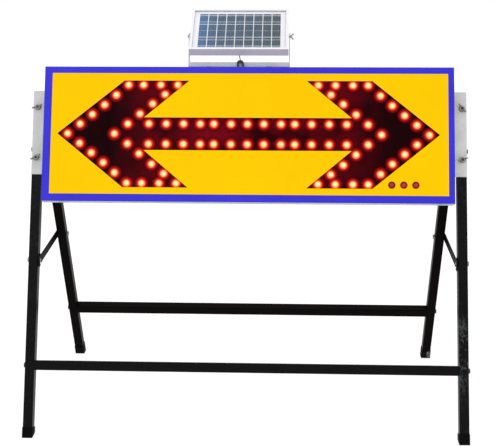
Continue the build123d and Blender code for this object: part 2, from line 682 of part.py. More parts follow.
relief = pl(-3.0, -8.5)                     # mouth of the strain relief on the junction box
s_e, o_e = so(relief)
# the lead ends short of everything the tilting panel sweeps
k_end = 14.8 / ((s_e - piv_s) ** 2 + (o_e - piv_o) ** 2) ** 0.5
s_e, o_e = piv_s + (s_e - piv_s) * k_end - 1.0, piv_o + (o_e - piv_o) * k_end + 6.0
route = [lead_pt(s1 + 19, gland_o), lead_pt(s1 + 46, gland_o + 0.8), lead_pt(s_e, o_e)]
l1, l2 = (route[1] - route[0]).length, (route[2] - route[1]).length
turn = (route[1] - route[0]).get_angle(route[2] - route[1])
lead_rad = 0.45 * min(l1, l2) / tan(radians(turn / 2))
with BuildPart() as panel_cable:
    with BuildLine() as cable_line:
        FilletPolyline(*route, radius=lead_rad)
    with BuildSketch(Plane(origin=route[0], z_dir=(route[1] - route[0]))):
        Circle(cable_r)
    sweep(path=cable_line.wires()[0])
out(panel_cable, "panel_cable", "panel cable")
print("cable length mm", round(cable_line.wires()[0].length, 2), "radius", round(lead_rad, 1), "turn", round(turn, 1),
      "volume ratio", round(panel_cable.part.volume / (3.14159265 * cable_r ** 2 * cable_line.wires()[0].length), 4),
      [tuple(round(c, 3) for c in v) for v in route], "relief", tuple(relief))

# ---- solar panel ----------------------------------------------------------
pw, ph, pt_ = pan_w / 2, pan_h / 2, pan_t / 2
with BuildPart() as panel_frame:
    add(block(PANEL, -pw, pw, -ph, ph, -pt_, pt_))
    add(block(PANEL, -pw + 8, pw - 8, -ph + 8, ph - 8, -pt_ - 1, pt_ + 1), mode=Mode.SUBTRACT)
    add(block(PANEL, -pw + 1.5, pw - 1.5, -ph + 1.5, ph - 1.5, -pt_ + 1.5, pt_ - 7.0), mode=Mode.SUBTRACT)
    add(block(PANEL, -pw + 1.5, pw - 1.5, -ph + 1.5, ph - 1.5, pt_ - 5.5, pt_ - 1.2), mode=Mode.SUBTRACT)
    add(rod_x((piv.Y, piv.Z), 2.5, pan_x - pw - 2, pan_x + pw + 2), mode=Mode.SUBTRACT)
out(panel_frame, "panel_frame", "solar panel frame")
with BuildPart() as panel_glass:
    add(block(PANEL, -pw + 1.6, pw - 1.6, -ph + 1.6, ph - 1.6, pt_ - 3.7, pt_ - 1.2))
out(panel_glass, "panel_glass", "solar panel glass")
with BuildPart() as panel_backsheet:
    add(block(PANEL, -pw + 1.6, pw - 1.6, -ph + 1.6, ph - 1.6, pt_ - 5.5, pt_ - 4.3))
out(panel_backsheet, "panel_backsheet", "solar panel backsheet")
with BuildPart() as solar_cells:
    with BuildSketch(PANEL.offset(pt_ - 4.3)):
        with Locations((0, -4.6)):
            with GridLocations(27.3, 38.3, 9, 4):
                Rectangle(24.9, 37.3)
    extrude(amount=0.3)
out(solar_cells, "solar_cells", "solar cells")
jb_x = lead_pt(s_e, o_e).X - pan_x
with BuildPart() as junction_box:
    add(block(PANEL, jb_x - 28, jb_x + 28, 3 - pan_up, 43 - pan_up, pt_ - 5.5 - 20.5, pt_ - 5.5 - 0.1, 0))
    fillet(junction_box.edges().group_by(Axis(tuple(piv), tuple(n_p)))[0], 3)
    with BuildSketch(Plane(origin=pl(3, -8.5), x_dir=(1, 0, 0), z_dir=-up_p)):
        with Locations((jb_x, 0)):
            Circle(3.3)
    extrude(amount=6)
out(junction_box, "junction_box", "panel junction box")
with BuildPart() as tilt_bolts:
    for side, reach in ((-1, 1.25), (1, 6.2)):
        add(rod_x((piv.Y, piv.Z), 2.5, pan_x + side * (pw - 5.4), pan_x + side * (arm_out + reach)))
        add(hex_x((piv.Y, piv.Z), 8.0, pan_x + side * (pw - 5.4), pan_x + side * (pw - 1.6)))
    add(rod_x((piv.Y, piv.Z), 4.6, pan_x - arm_out - 3.6, pan_x - arm_out - 1.25))
out(tilt_bolts, "tilt_bolts", "tilt bolts")
with BuildPart() as tilt_washers:
    for side in (-1, 1):
        add(rod_x((piv.Y, piv.Z), 5.5, pan_x + side * (arm_out + 0.05), pan_x + side * (arm_out + 1.2)))
        add(rod_x((piv.Y, piv.Z), 2.5, pan_x + side * (arm_out - 1), pan_x + side * (arm_out + 2)), mode=Mode.SUBTRACT)
out(tilt_washers, "tilt_washers", "tilt bolt washers")
with BuildPart() as twing:
    wp_ = Plane(origin=(pan_x + arm_out, piv.Y, piv.Z), x_dir=(0, 1, 0), z_dir=(1, 0, 0))
    add(wing_nut(wp_, 0, 0, 1.25, 70, 9.2, 4.3, 2.5 + run, 0.55))
out(twing, "tilt_wing", "tilt wing nut")
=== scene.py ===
import bpy, bmesh, math, random
from mathutils import Vector, Matrix


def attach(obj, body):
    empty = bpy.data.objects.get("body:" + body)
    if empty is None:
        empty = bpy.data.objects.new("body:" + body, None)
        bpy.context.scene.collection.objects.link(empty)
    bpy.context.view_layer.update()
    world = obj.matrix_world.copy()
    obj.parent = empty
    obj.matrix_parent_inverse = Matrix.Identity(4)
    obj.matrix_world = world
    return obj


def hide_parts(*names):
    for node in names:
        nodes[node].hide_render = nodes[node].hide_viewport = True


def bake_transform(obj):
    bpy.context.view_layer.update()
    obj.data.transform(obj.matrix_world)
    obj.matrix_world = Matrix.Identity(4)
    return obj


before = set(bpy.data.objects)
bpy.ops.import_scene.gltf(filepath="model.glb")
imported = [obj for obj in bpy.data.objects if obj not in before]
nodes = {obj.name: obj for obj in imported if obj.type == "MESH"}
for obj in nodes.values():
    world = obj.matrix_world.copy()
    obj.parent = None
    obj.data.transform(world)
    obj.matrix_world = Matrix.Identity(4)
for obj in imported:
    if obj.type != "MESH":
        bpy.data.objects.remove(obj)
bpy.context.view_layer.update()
random.seed(7)

# ---------------------------------------------------------------- geometry facts, metres
AL, GA, TA = math.radians(22.6), math.radians(19.2), math.radians(55.5)
Y_SHIFT = -0.3123064
U = Vector((0, math.sin(AL), math.cos(AL)))
N = Vector((0, -math.cos(AL), math.sin(AL)))
F0 = Vector((0, Y_SHIFT, 0))
UP = Vector((0, math.sin(TA), math.cos(TA)))
NP = Vector((0, -math.cos(TA), math.sin(TA)))
SC = 0.885
PIV = F0 + U * 1.1845 + N * 0.018 + Vector((-0.028, 0, 0))
PAN_MID = PIV + UP * 0.021
QUARTER = [(492, 29), (456.5, 57), (421, 86), (387, 115.5), (351, 146), (307, 146), (256, 146), (206, 146),
           (243, 117.5), (279, 89.5), (316, 59)]
LAMPS = [(a * x, b * y) for a in (-1, 1) for b in (-1, 1) for x, y in QUARTER]
LAMPS += [(a * x, y) for a in (-1, 1) for x, y in ((528, 0), (351, 29.5), (390, 0), (351, -29.5))]
ROW = (48, 98, 138, 187, 238, 289)
LAMPS += [(x, y) for x in [-r for r in ROW[::-1]] + [0] + list(ROW) for y in (30, -30)]
LAMPS = [(x / 1000, SC + y / 1000) for x, y in LAMPS]


def face_pt(x, s, o):
    return F0 + Vector((x, 0, 0)) + U * s + N * o


# ---------------------------------------------------------------- node helpers
class Mat:
    """Small builder for node materials."""

    def __init__(self, name):
        self.m = bpy.data.materials.new(name)
        self.m.use_nodes = True
        self.t = self.m.node_tree
        self.b = self.t.nodes["Principled BSDF"]
        self.o = self.t.nodes["Material Output"]

    def set(self, **kw):
        names = dict(color="Base Color", rough="Roughness", metal="Metallic", ior="IOR", coat="Coat Weight",
                     coat_rough="Coat Roughness", spec="Specular IOR Level", alpha="Alpha", trans="Transmission Weight",
                     emit="Emission Color", power="Emission Strength", sheen="Sheen Weight")
        for k, v in kw.items():
            s = self.b.inputs[names[k]]
            s.default_value = (*v, 1.0) if isinstance(v, (tuple, list)) and len(v) == 3 else v
        return self

    def node(self, kind, **kw):
        n = self.t.nodes.new(kind)
        for k, v in kw.items():
            if hasattr(n, k):
                setattr(n, k, v)
            else:
                n.inputs[k].default_value = v
        return n

    def link(self, a, b):
        self.t.links.new(a, b)

    def coord(self, scale=(1, 1, 1), rot=(0, 0, 0)):
        c = self.node("ShaderNodeTexCoord")
        mp = self.node("ShaderNodeMapping")
        mp.inputs["Scale"].default_value = scale
        mp.inputs["Rotation"].default_value = rot
        self.link(c.outputs["Object"], mp.inputs["Vector"])
        return mp.outputs["Vector"]

    def noise(self, scale, detail=3.0, rough=0.5, vec=None, **kw):
        n = self.node("ShaderNodeTexNoise")
        n.inputs["Scale"].default_value = scale
        n.inputs["Detail"].default_value = detail
        n.inputs["Roughness"].default_value = rough
        self.link(vec if vec is not None else self.coord(), n.inputs["Vector"])
        return n.outputs["Fac"]

    def ramp(self, fac, *stops):
        r = self.node("ShaderNodeValToRGB")
        e = r.color_ramp.elements
        while len(e) < len(stops):
            e.new(0.5)
        for el, (p, c) in zip(e, stops):
            el.position = p
            el.color = (*c, 1.0) if isinstance(c, (tuple, list)) else (c, c, c, 1.0)
        self.link(fac, r.inputs["Fac"])
        return r.outputs["Color"]

    def maths(self, op, a, b=None):
        n = self.node("ShaderNodeMath", operation=op)
        for i, v in enumerate((a, b)):
            if v is None:
                continue
            if isinstance(v, (int, float)):
                n.inputs[i].default_value = v
            else:
                self.link(v, n.inputs[i])
        return n.outputs[0]

    def mix(self, fac, a, b, blend="MIX"):
        n = self.node("ShaderNodeMix", data_type="RGBA", blend_type=blend)
        for i, v in ((0, fac), (6, a), (7, b)):
            if isinstance(v, (int, float)):
                n.inputs[i].default_value = v
            elif isinstance(v, (tuple, list)):
                n.inputs[i].default_value = (*v, 1.0)
            else:
                self.link(v, n.inputs[i])
        return n.outputs[2]

    def bump(self, height, strength=0.2, dist=0.0002, radius=None):
        n = self.node("ShaderNodeBump")
        n.inputs["Strength"].default_value = strength
        n.inputs["Distance"].default_value = dist
        self.link(height, n.inputs["Height"])
        if radius:
            bv = self.node("ShaderNodeBevel", samples=4)
            bv.inputs["Radius"].default_value = radius
            self.link(bv.outputs["Normal"], n.inputs["Normal"])
        self.link(n.outputs["Normal"], self.b.inputs["Normal"])
        return self

    def use(self, socket, name):
        self.link(socket, self.b.inputs[name])
        return self


def give(mat, *names):
    for nm in names:
        o = nodes[nm] if nm in nodes else bpy.data.objects[nm]
        if not o.material_slots:
            o.data.materials.append(mat.m)
        for s in o.material_slots:
            s.material = mat.m


# ---------------------------------------------------------------- materials
def powder_coat(name, base, warm, rough=0.34, scuffs=0.0, scuff_z=0.20, spec=0.07):
    """Semi-gloss black powder coat: orange peel, faint dust, worn speckles low down."""
    m = Mat(name)
    vec = m.coord()
    peel = m.noise(420, 2, 0.5, vec)
    cloud = m.noise(9, 4, 0.6, vec)
    col = m.mix(m.maths("MULTIPLY", cloud, 0.55), base, warm)
    if scuffs:
        sep = m.node("ShaderNodeSeparateXYZ")
        m.link(vec, sep.inputs[0])
        band = m.maths("SUBTRACT", 1.0, m.maths("MULTIPLY", m.maths("ABSOLUTE", m.maths("SUBTRACT", sep.outputs["Z"], scuff_z)), 1.0 / 0.12))
        side = m.maths("GREATER_THAN", sep.outputs["X"], 0.5)
        low = m.maths("MULTIPLY", m.maths("MAXIMUM", band, 0.0), side)
        low = m.maths("ADD", m.maths("MULTIPLY", low, 0.9), 0.06)
        specks = m.noise(160, 6, 0.72, m.coord((1, 1, 0.45)))
        patch = m.noise(11, 3, 0.6, vec)
        mask = m.ramp(m.maths("MULTIPLY", specks, m.maths("ADD", patch, 0.42)), (0.49, 0.0), (0.61, 1.0))
        mask = m.maths("MULTIPLY", mask, m.maths("MULTIPLY", low, scuffs))
        col = m.mix(mask, col, (0.105, 0.125, 0.125))
        rr = m.maths("ADD", m.maths("MULTIPLY", mask, 0.35), m.maths("ADD", m.maths("MULTIPLY", cloud, 0.14), rough - 0.07))
    else:
        rr = m.maths("ADD", m.maths("MULTIPLY", cloud, 0.14), rough - 0.07)
    m.use(col, "Base Color").use(rr, "Roughness")
    m.set(spec=spec)
    m.bump(peel, 0.12, 0.00012, radius=0.0012)
    return m


black = powder_coat("black_paint", (0.0022, 0.0019, 0.0025), (0.0066, 0.0058, 0.0070), 0.34, 1.0, 0.235, 0.07)
# painted shade: a darker, less glossy copy of the same black powder coat for the rear legs and rear bar
rear_shaded_black = powder_coat("rear_black_paint", (0.0012, 0.0006, 0.0006), (0.0038, 0.0014, 0.0014), 0.40, 0.0, 0.02, 0.03)
bar_black = powder_coat("bar_black_paint", (0.0030, 0.0027, 0.0032), (0.0070, 0.0062, 0.0070), 0.40, 0.0, 0.20, 0.06)
give(black, "front_leg_left", "front_leg_right")
stay_black = powder_coat("stay_black_paint", (0.0016, 0.0012, 0.0014), (0.0048, 0.0036, 0.0040), 0.46, 0.0, 0.20, 0.02)
give(bar_black, "front_bar")
give(stay_black, "stay_left", "stay_right")
give(rear_shaded_black, "rear_leg_left", "rear_leg_right", "rear_bar")

rubber = Mat("black_rubber").set(color=(0.008, 0.008, 0.009), spec=0.05)
rubber.use(rubber.ramp(rubber.noise(60, 5, 0.6), (0.3, 0.62), (0.7, 0.82)), "Roughness")
rubber.use(rubber.ramp(rubber.noise(14, 5, 0.6), (0.45, (0.0022, 0.0022, 0.0026)), (0.8, (0.0060, 0.0055, 0.0055))), "Base Color")
rubber.bump(rubber.noise(700, 2, 0.5), 0.25, 0.0002, radius=0.0015)
give(rubber, "front_feet")

# the rear caps carry one rubbed pale patch on the right-hand outer half
worn = Mat("worn_rubber").set(spec=0.05)
worn.use(worn.ramp(worn.noise(60, 5, 0.6), (0.3, 0.62), (0.7, 0.82)), "Roughness")
wdark = worn.ramp(worn.noise(14, 5, 0.6), (0.45, (0.0020, 0.0018, 0.0018)), (0.8, (0.0050, 0.0045, 0.0045)))
wsp = worn.node("ShaderNodeSeparateXYZ")
worn.link(worn.coord(), wsp.inputs[0])
wmask = worn.maths("MULTIPLY", worn.maths("GREATER_THAN", wsp.outputs["X"], 0.596), worn.maths("GREATER_THAN", wsp.outputs["Z"], 0.004))
wmask = worn.maths("MULTIPLY", wmask, worn.ramp(worn.noise(240, 4, 0.6), (0.42, 0.1), (0.55, 1.0)))
worn.use(worn.mix(wmask, wdark, (0.20, 0.20, 0.20)), "Base Color")
worn.bump(worn.noise(700, 2, 0.5), 0.25, 0.0002, radius=0.0015)
give(worn, "rear_feet")

moulded = Mat("black_plastic").set(spec=0.4)
moulded.use(moulded.ramp(moulded.noise(25, 4, 0.6), (0.3, (0.010, 0.010, 0.011)), (0.8, (0.022, 0.022, 0.024))), "Base Color")
moulded.use(moulded.ramp(moulded.noise(90, 3, 0.5), (0.3, 0.38), (0.7, 0.52)), "Roughness")
moulded.bump(moulded.noise(900, 2, 0.5), 0.15, 0.00015, radius=0.0006)
give(moulded, "front_leg_plugs", "rear_leg_plugs", "gland_guard", "junction_box", "switch_body",
     "switch_rocker", "hinge_spacers")

dark_steel = Mat("black_steel").set(metal=0.6, spec=0.5)
dark_steel.use(dark_steel.ramp(dark_steel.noise(80, 4, 0.6), (0.35, (0.018, 0.018, 0.019)), (0.8, (0.07, 0.066, 0.062))), "Base Color")
dark_steel.use(dark_steel.ramp(dark_steel.noise(200, 3, 0.5), (0.3, 0.32), (0.7, 0.5)), "Roughness")
dark_steel.bump(dark_steel.noise(500, 2, 0.5), 0.15, 0.00015, radius=0.0006)
give(dark_steel, "front_bar_bolts", "rear_bar_bolts", "hinge_bolts", "sign_bolts")

zinc = Mat("zinc").set(metal=1.0)
zv = zinc.node("ShaderNodeTexVoronoi")
zv.inputs["Scale"].default_value = 260
zinc.link(zinc.coord(), zv.inputs["Vector"])
zinc.use(zinc.mix(zinc.maths("MULTIPLY", zinc.noise(120, 4, 0.6), 0.6), (0.36, 0.35, 0.34), (0.15, 0.14, 0.12)), "Base Color")
zinc.use(zinc.ramp(zv.outputs["Distance"], (0.0, 0.24), (0.7, 0.42)), "Roughness")
zinc.bump(zinc.noise(650, 3, 0.5), 0.22, 0.0002, radius=0.0007)
give(zinc, "stay_studs", "stay_pivots", "wing_nut_left_low", "wing_nut_left_high", "wing_nut_right_low",
     "wing_nut_right_high", "sign_washers", "tilt_bolts", "tilt_washers", "tilt_wing",
     "cover_screws", "bracket_rivets", "yoke_screws", "yoke_spacers", "board_posts")

grey = Mat("grey_sheet").set(spec=0.3)
gn = grey.noise(26, 5, 0.6, grey.coord((1, 1, 1)))
grey.use(grey.ramp(gn, (0.3, (0.53, 0.54, 0.53)), (0.55, (0.59, 0.60, 0.59)), (0.8, (0.64, 0.64, 0.65))), "Base Color")
grey.use(grey.ramp(grey.noise(140, 4, 0.6), (0.3, 0.36), (0.7, 0.5)), "Roughness")
grey.bump(grey.noise(380, 3, 0.5), 0.14, 0.00018, radius=0.0010)
give(grey, "rear_cover", "side_bracket_left", "side_bracket_right")

# the folded sheet box: the same paint, with painted shade darkening the faces that point downwards
shell = Mat("box_sheet").set(spec=0.12)
sg = shell.node("ShaderNodeNewGeometry")
ss = shell.node("ShaderNodeSeparateXYZ")
shell.link(sg.outputs["True Normal"], ss.inputs[0])
sunder = shell.node("ShaderNodeMapRange", **{"From Min": -0.75, "From Max": -0.35, "To Min": 0.0, "To Max": 1.0})
shell.link(ss.outputs["Z"], sunder.inputs["Value"])
# painted shade: downward faces take this darker copy of the grey sheet colour
shell_painted_shade = shell.ramp(shell.noise(26, 5, 0.6), (0.3, (0.40, 0.41, 0.39)), (0.8, (0.47, 0.48, 0.46)))
shigh = shell.ramp(shell.noise(26, 5, 0.6), (0.3, (0.53, 0.54, 0.53)), (0.8, (0.64, 0.64, 0.65)))
shell.use(shell.mix(sunder.outputs[0], shell_painted_shade, shigh), "Base Color")
shell.use(shell.ramp(shell.noise(140, 4, 0.6), (0.3, 0.36), (0.7, 0.5)), "Roughness")
shell.bump(shell.noise(380, 3, 0.5), 0.14, 0.00018, radius=0.0010)
give(shell, "sign_housing")

blue = Mat("blue_face").set(spec=0.12)
bn = blue.noise(7, 4, 0.6)
blue.use(blue.ramp(bn, (0.3, (0.034, 0.027, 0.57)), (0.7, (0.041, 0.032, 0.64))), "Base Color")
blue.use(blue.ramp(blue.noise(60, 3, 0.5), (0.3, 0.28), (0.7, 0.38)), "Roughness")
blue.bump(blue.noise(500, 2, 0.5), 0.07, 0.0001, radius=0.0009)
give(blue, "face_panel")

gland_m = Mat("gland_grey").set(spec=0.4)
gland_m.use(gland_m.ramp(gland_m.noise(40, 4, 0.6), (0.3, (0.24, 0.23, 0.28)), (0.7, (0.36, 0.35, 0.41))), "Base Color")
gland_m.use(gland_m.ramp(gland_m.noise(120, 3, 0.5), (0.3, 0.32), (0.7, 0.46)), "Roughness")
gland_m.bump(gland_m.noise(600, 2, 0.5), 0.12, 0.00012, radius=0.0007)
give(gland_m, "cable_gland")

bezel = Mat("bezel_plastic").set(spec=0.2)
bezel.use(bezel.ramp(bezel.noise(60, 3, 0.6), (0.3, (0.070, 0.008, 0.007)), (0.8, (0.13, 0.016, 0.012))), "Base Color")
bezel.use(bezel.ramp(bezel.noise(160, 3, 0.5), (0.3, 0.30), (0.7, 0.45)), "Roughness")
bezel.bump(bezel.noise(700, 2, 0.5), 0.1, 0.0001, radius=0.0005)
give(bezel, "indicator_bezels")

# retroreflective sheet: fine cell net under a clear skin, with faint large-scale waviness
yellow = Mat("yellow_film").set(spec=0.03)
yc = yellow.coord()
cells = yellow.node("ShaderNodeTexVoronoi", feature="DISTANCE_TO_EDGE")
cells.inputs["Scale"].default_value = 330
cells.inputs["Randomness"].default_value = 0.12
yellow.link(yc, cells.inputs["Vector"])
net = yellow.ramp(cells.outputs["Distance"], (0.0, 1.0), (0.10, 0.0))
ybase = yellow.ramp(yellow.noise(5, 3, 0.55, yc), (0.3, (0.93, 0.535, 0.0)), (0.7, (0.97, 0.570, 0.0)))
yellow.use(yellow.mix(yellow.maths("MULTIPLY", net, 0.10), ybase, (0.78, 0.47, 0.0)), "Base Color")
yellow.use(yellow.ramp(yellow.noise(30, 3, 0.5, yc), (0.3, 0.34), (0.7, 0.44)), "Roughness")
yellow.bump(yellow.noise(90, 2, 0.5, yc), 0.05, 0.0002)
give(yellow, "yellow_field")

smoke = Mat("smoked_acrylic").set(spec=0.015, rough=0.16)
sn = smoke.noise(6.5, 3, 0.6, smoke.coord((1, 1, 1)))
smoke.use(smoke.ramp(sn, (0.38, (0.0020, 0.0004, 0.0010)), (0.60, (0.0050, 0.0004, 0.0010)), (0.74, (0.0120, 0.0008, 0.0012))), "Base Color")
smoke.bump(smoke.noise(12, 2, 0.5), 0.04, 0.0004)
# painted glow: the window itself emits red, strongest along the shaft, fading towards the arrow heads, in patches
gsep = smoke.node("ShaderNodeSeparateXYZ")
smoke.link(smoke.coord(), gsep.inputs[0])
window_glow_falloff = smoke.node("ShaderNodeMapRange", **{"From Min": 0.20, "From Max": 0.40, "To Min": 1.0, "To Max": 0.04})
smoke.link(smoke.maths("ABSOLUTE", gsep.outputs["X"]), window_glow_falloff.inputs["Value"])
window_glow_patches = smoke.ramp(smoke.noise(9, 3, 0.55), (0.34, 0.10), (0.66, 1.0))
smoke.use(smoke.mix(smoke.maths("MULTIPLY", window_glow_falloff.outputs[0], window_glow_patches), (0.0045, 0.0003, 0.0006), (0.17, 0.0012, 0.007)), "Emission Color")
smoke.set(power=1.0)
give(smoke, "arrow_window")

red = Mat("red_lamp").set(spec=0.25, rough=0.16)
red.use(red.ramp(red.noise(60, 3, 0.5), (0.3, (0.46, 0.006, 0.008)), (0.7, (0.64, 0.012, 0.010))), "Base Color")
red.bump(red.noise(300, 2, 0.5), 0.06, 0.0001, radius=0.0008)
give(red, "indicator_lamps")

board = Mat("board_green").set(spec=0.5)
board.use(board.ramp(board.noise(50, 4, 0.6), (0.35, (0.010, 0.085, 0.030)), (0.7, (0.016, 0.13, 0.05))), "Base Color")
board.use(board.ramp(board.noise(120, 3, 0.5), (0.3, 0.25), (0.7, 0.4)), "Roughness")
board.bump(board.noise(220, 3, 0.5), 0.2, 0.0002)
give(board, "lamp_board")

case_grey = Mat("battery_grey").set(spec=0.4)
case_grey.use(case_grey.ramp(case_grey.noise(30, 4, 0.6), (0.3, (0.10, 0.10, 0.105)), (0.7, (0.15, 0.15, 0.16))), "Base Color")
case_grey.use(case_grey.ramp(case_grey.noise(100, 3, 0.5), (0.3, 0.45), (0.7, 0.6)), "Roughness")
case_grey.bump(case_grey.noise(700, 2, 0.5), 0.2, 0.00015, radius=0.001)
give(case_grey, "battery", "charge_controller")

web = Mat("webbing").set(spec=0.2, sheen=0.3, rough=0.85)
wv = web.node("ShaderNodeTexWave", wave_type="BANDS", bands_direction="DIAGONAL")
wv.inputs["Scale"].default_value = 260
web.link(web.coord(), wv.inputs["Vector"])
web.use(web.ramp(wv.outputs["Fac"], (0.2, (0.012, 0.012, 0.013)), (0.8, (0.035, 0.035, 0.037))), "Base Color")
web.bump(wv.outputs["Fac"], 0.5, 0.0004)
give(web, "battery_strap")

white = Mat("white_frame").set(spec=0.3)
# painted shade: faces that point downwards take a darker lavender-grey copy of the white frame paint
wg = white.node("ShaderNodeNewGeometry")
wsep = white.node("ShaderNodeSeparateXYZ")
white.link(wg.outputs["True Normal"], wsep.inputs[0])
under = white.node("ShaderNodeMapRange", **{"From Min": -0.25, "From Max": 0.15, "To Min": 0.0, "To Max": 1.0})
white.link(wsep.outputs["Z"], under.inputs["Value"])
face_c = white.ramp(white.noise(18, 4, 0.6), (0.3, (0.84, 0.83, 0.87)), (0.7, (0.92, 0.91, 0.93)))
frame_painted_shade = white.ramp(white.noise(18, 4, 0.6), (0.3, (0.37, 0.355, 0.45)), (0.7, (0.43, 0.415, 0.50)))
white.use(white.mix(under.outputs[0], frame_painted_shade, face_c), "Base Color")
white.use(white.ramp(white.noise(150, 3, 0.5), (0.3, 0.32), (0.7, 0.44)), "Roughness")
white.bump(white.noise(480, 2, 0.5), 0.08, 0.0001, radius=0.0009)
give(white, "panel_frame")

yoke_m = Mat("yoke_grey").set(spec=0.5, metal=0.25)
yoke_m.use(yoke_m.ramp(yoke_m.noise(30, 4, 0.6), (0.3, (0.46, 0.45, 0.52)), (0.7, (0.56, 0.55, 0.62))), "Base Color")
yoke_m.use(yoke_m.ramp(yoke_m.noise(170, 3, 0.5), (0.3, 0.34), (0.7, 0.5)), "Roughness")
yoke_m.bump(yoke_m.noise(420, 2, 0.5), 0.12, 0.00015, radius=0.0009)
give(yoke_m, "panel_yoke")

back = Mat("white_backsheet").set(spec=0.4)
back.use(back.ramp(back.noise(12, 3, 0.5), (0.3, (0.84, 0.84, 0.88)), (0.7, (0.92, 0.92, 0.94))), "Base Color")
back.use(back.ramp(back.noise(80, 3, 0.5), (0.3, 0.5), (0.7, 0.62)), "Roughness")
back.bump(back.noise(60, 2, 0.5), 0.06, 0.0002)
give(back, "panel_backsheet")

glass = Mat("panel_glass").set(color=(0.90, 0.94, 1.0), rough=0.10, spec=0.25, ior=1.30)
glass.b.inputs["Alpha"].default_value = 0.05
glass.bump(glass.noise(260, 2, 0.5), 0.05, 0.0001)
give(glass, "panel_glass")

cell = Mat("cell_blue").set(spec=0.15, rough=0.35)
cv = cell.coord()
csep = cell.node("ShaderNodeSeparateXYZ")
cell.link(cv, csep.inputs[0])
# painted highlight: the cells run from bright blue at the left end to near black at the right end
cell_highlight_span = cell.node("ShaderNodeMapRange", **{"From Min": -0.15, "From Max": 0.095, "To Min": 0.0, "To Max": 1.0})
cell.link(csep.outputs["X"], cell_highlight_span.inputs["Value"])
cell_colour_and_highlight = cell.ramp(cell_highlight_span.outputs[0], (0.0, (0.005, 0.110, 0.34)), (0.25, (0.002, 0.052, 0.125)), (1.0, (0.001, 0.026, 0.052)))
grain = cell.node("ShaderNodeTexVoronoi")
grain.inputs["Scale"].default_value = 150
cell.link(cv, grain.inputs["Vector"])
cell.use(cell.mix(0.22, cell_colour_and_highlight, cell.mix(1.0, cell_colour_and_highlight, grain.outputs["Color"], "MULTIPLY")), "Base Color")
cell.bump(grain.outputs["Distance"], 0.05, 0.0001)
give(cell, "solar_cells")

cable_m = Mat("cable_grey").set(spec=0.4)
cable_m.use(cable_m.ramp(cable_m.noise(50, 4, 0.6), (0.3, (0.22, 0.22, 0.23)), (0.7, (0.30, 0.30, 0.31))), "Base Color")
cable_m.use(cable_m.ramp(cable_m.noise(200, 3, 0.5), (0.3, 0.42), (0.7, 0.55)), "Roughness")
cable_m.bump(cable_m.noise(600, 2, 0.5), 0.1, 0.0001)


# ---------------------------------------------------------------- lamps: lit domes with a radial core, and their halo on the window
def radial_mesh(name, rings, centres, segs=28, attr="glow"):
    """One mesh of round caps, one per centre. rings: (radius, offset forwards, attribute)."""
    me = bpy.data.meshes.new(name)
    verts, faces, vals = [], [], []
    for cx, cs in centres:
        base = len(verts)
        closed = rings[0][0] == 0
        if closed:
            verts.append(face_pt(cx, cs, rings[0][1])); vals.append(rings[0][2])
        rr = rings[1:] if closed else rings
        for r, o, v in rr:
            for k in range(segs):
                a = 2 * math.pi * k / segs
                verts.append(face_pt(cx + r * math.cos(a), cs + r * math.sin(a), o)); vals.append(v)
        first = base + (1 if closed else 0)
        if closed:
            for k in range(segs):
                faces.append((base, first + k, first + (k + 1) % segs))
        for i in range(len(rr) - 1):
            p, q = first + i * segs, first + (i + 1) * segs
            for k in range(segs):
                faces.append((p + k, q + k, q + (k + 1) % segs, p + (k + 1) % segs))
    me.from_pydata(verts, [], faces)
    layer = me.color_attributes.new(attr, "FLOAT_COLOR", "POINT")
    for i, v in enumerate(vals):
        layer.data[i].color = (*v, 1.0)
    me.update()
    for p in me.polygons:
        p.use_smooth = True
    ob = bpy.data.objects.new(name, me)
    bpy.context.scene.collection.objects.link(ob)
    return ob


CORE, WARM, AMBER, RIM, EDGE = (1.0, 0.93, 0.42), (1.0, 0.74, 0.20), (1.0, 0.46, 0.11), (1.0, 0.22, 0.055), (0.96, 0.085, 0.030)
dome = [(0.0, 0.0450, CORE), (0.0022, 0.04495, CORE), (0.0042, 0.0448, CORE), (0.0060, 0.0446, WARM),
        (0.0074, 0.0444, AMBER), (0.0088, 0.0441, RIM), (0.0100, 0.0435, EDGE), (0.0107, 0.0428, EDGE),
        (0.0110, 0.0418, EDGE), (0.0110, 0.0330, EDGE)]
lamp_obj = radial_mesh("lamp_domes", dome, LAMPS, 32)
lit = Mat("lit_lamp").set(rough=0.25, spec=0.5)
at = lit.node("ShaderNodeVertexColor", layer_name="glow")
lit.use(lit.mix(0.93, at.outputs["Color"], (0.0, 0.0, 0.0)), "Base Color")
hot = lit.ramp(lit.noise(85, 2, 0.5), (0.46, 0.0), (0.64, 0.45))
lit.use(lit.mix(hot, at.outputs["Color"], (1.0, 0.40, 0.15)), "Emission Color")
lit.set(power=1.0)
lamp_obj.data.materials.append(lit.m)
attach(lamp_obj, "stand")
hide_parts("arrow_lamps")

DARK = (0.0, 0.0, 0.0)
halo = radial_mesh("lamp_halos", [(0.0112, 0.04310, (0.95, 0.050, 0.018)), (0.0124, 0.04309, (0.66, 0.018, 0.010)),
                                  (0.0140, 0.04308, (0.46, 0.008, 0.007)), (0.0160, 0.04307, (0.27, 0.004, 0.005)),
                                  (0.0185, 0.04306, (0.145, 0.0020, 0.0035)), (0.0212, 0.04305, (0.070, 0.0010, 0.0022)),
                                  (0.0240, 0.04304, DARK)], LAMPS, 32)
halo_m = Mat("lamp_halo").set(spec=0.015, rough=0.16, power=1.0)
ha = halo_m.node("ShaderNodeVertexColor", layer_name="glow")
halo_m.use(halo_m.mix(0.9, ha.outputs["Color"], (0.0, 0.0, 0.0)), "Base Color")
halo_m.use(ha.outputs["Color"], "Emission Color")
hsep = halo_m.node("ShaderNodeSeparateColor")
halo_m.link(ha.outputs["Color"], hsep.inputs[0])
halo_m.use(halo_m.maths("MINIMUM", halo_m.maths("MULTIPLY", hsep.outputs[0], 12.0), 1.0), "Alpha")
halo.data.materials.append(halo_m.m)
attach(halo, "stand")


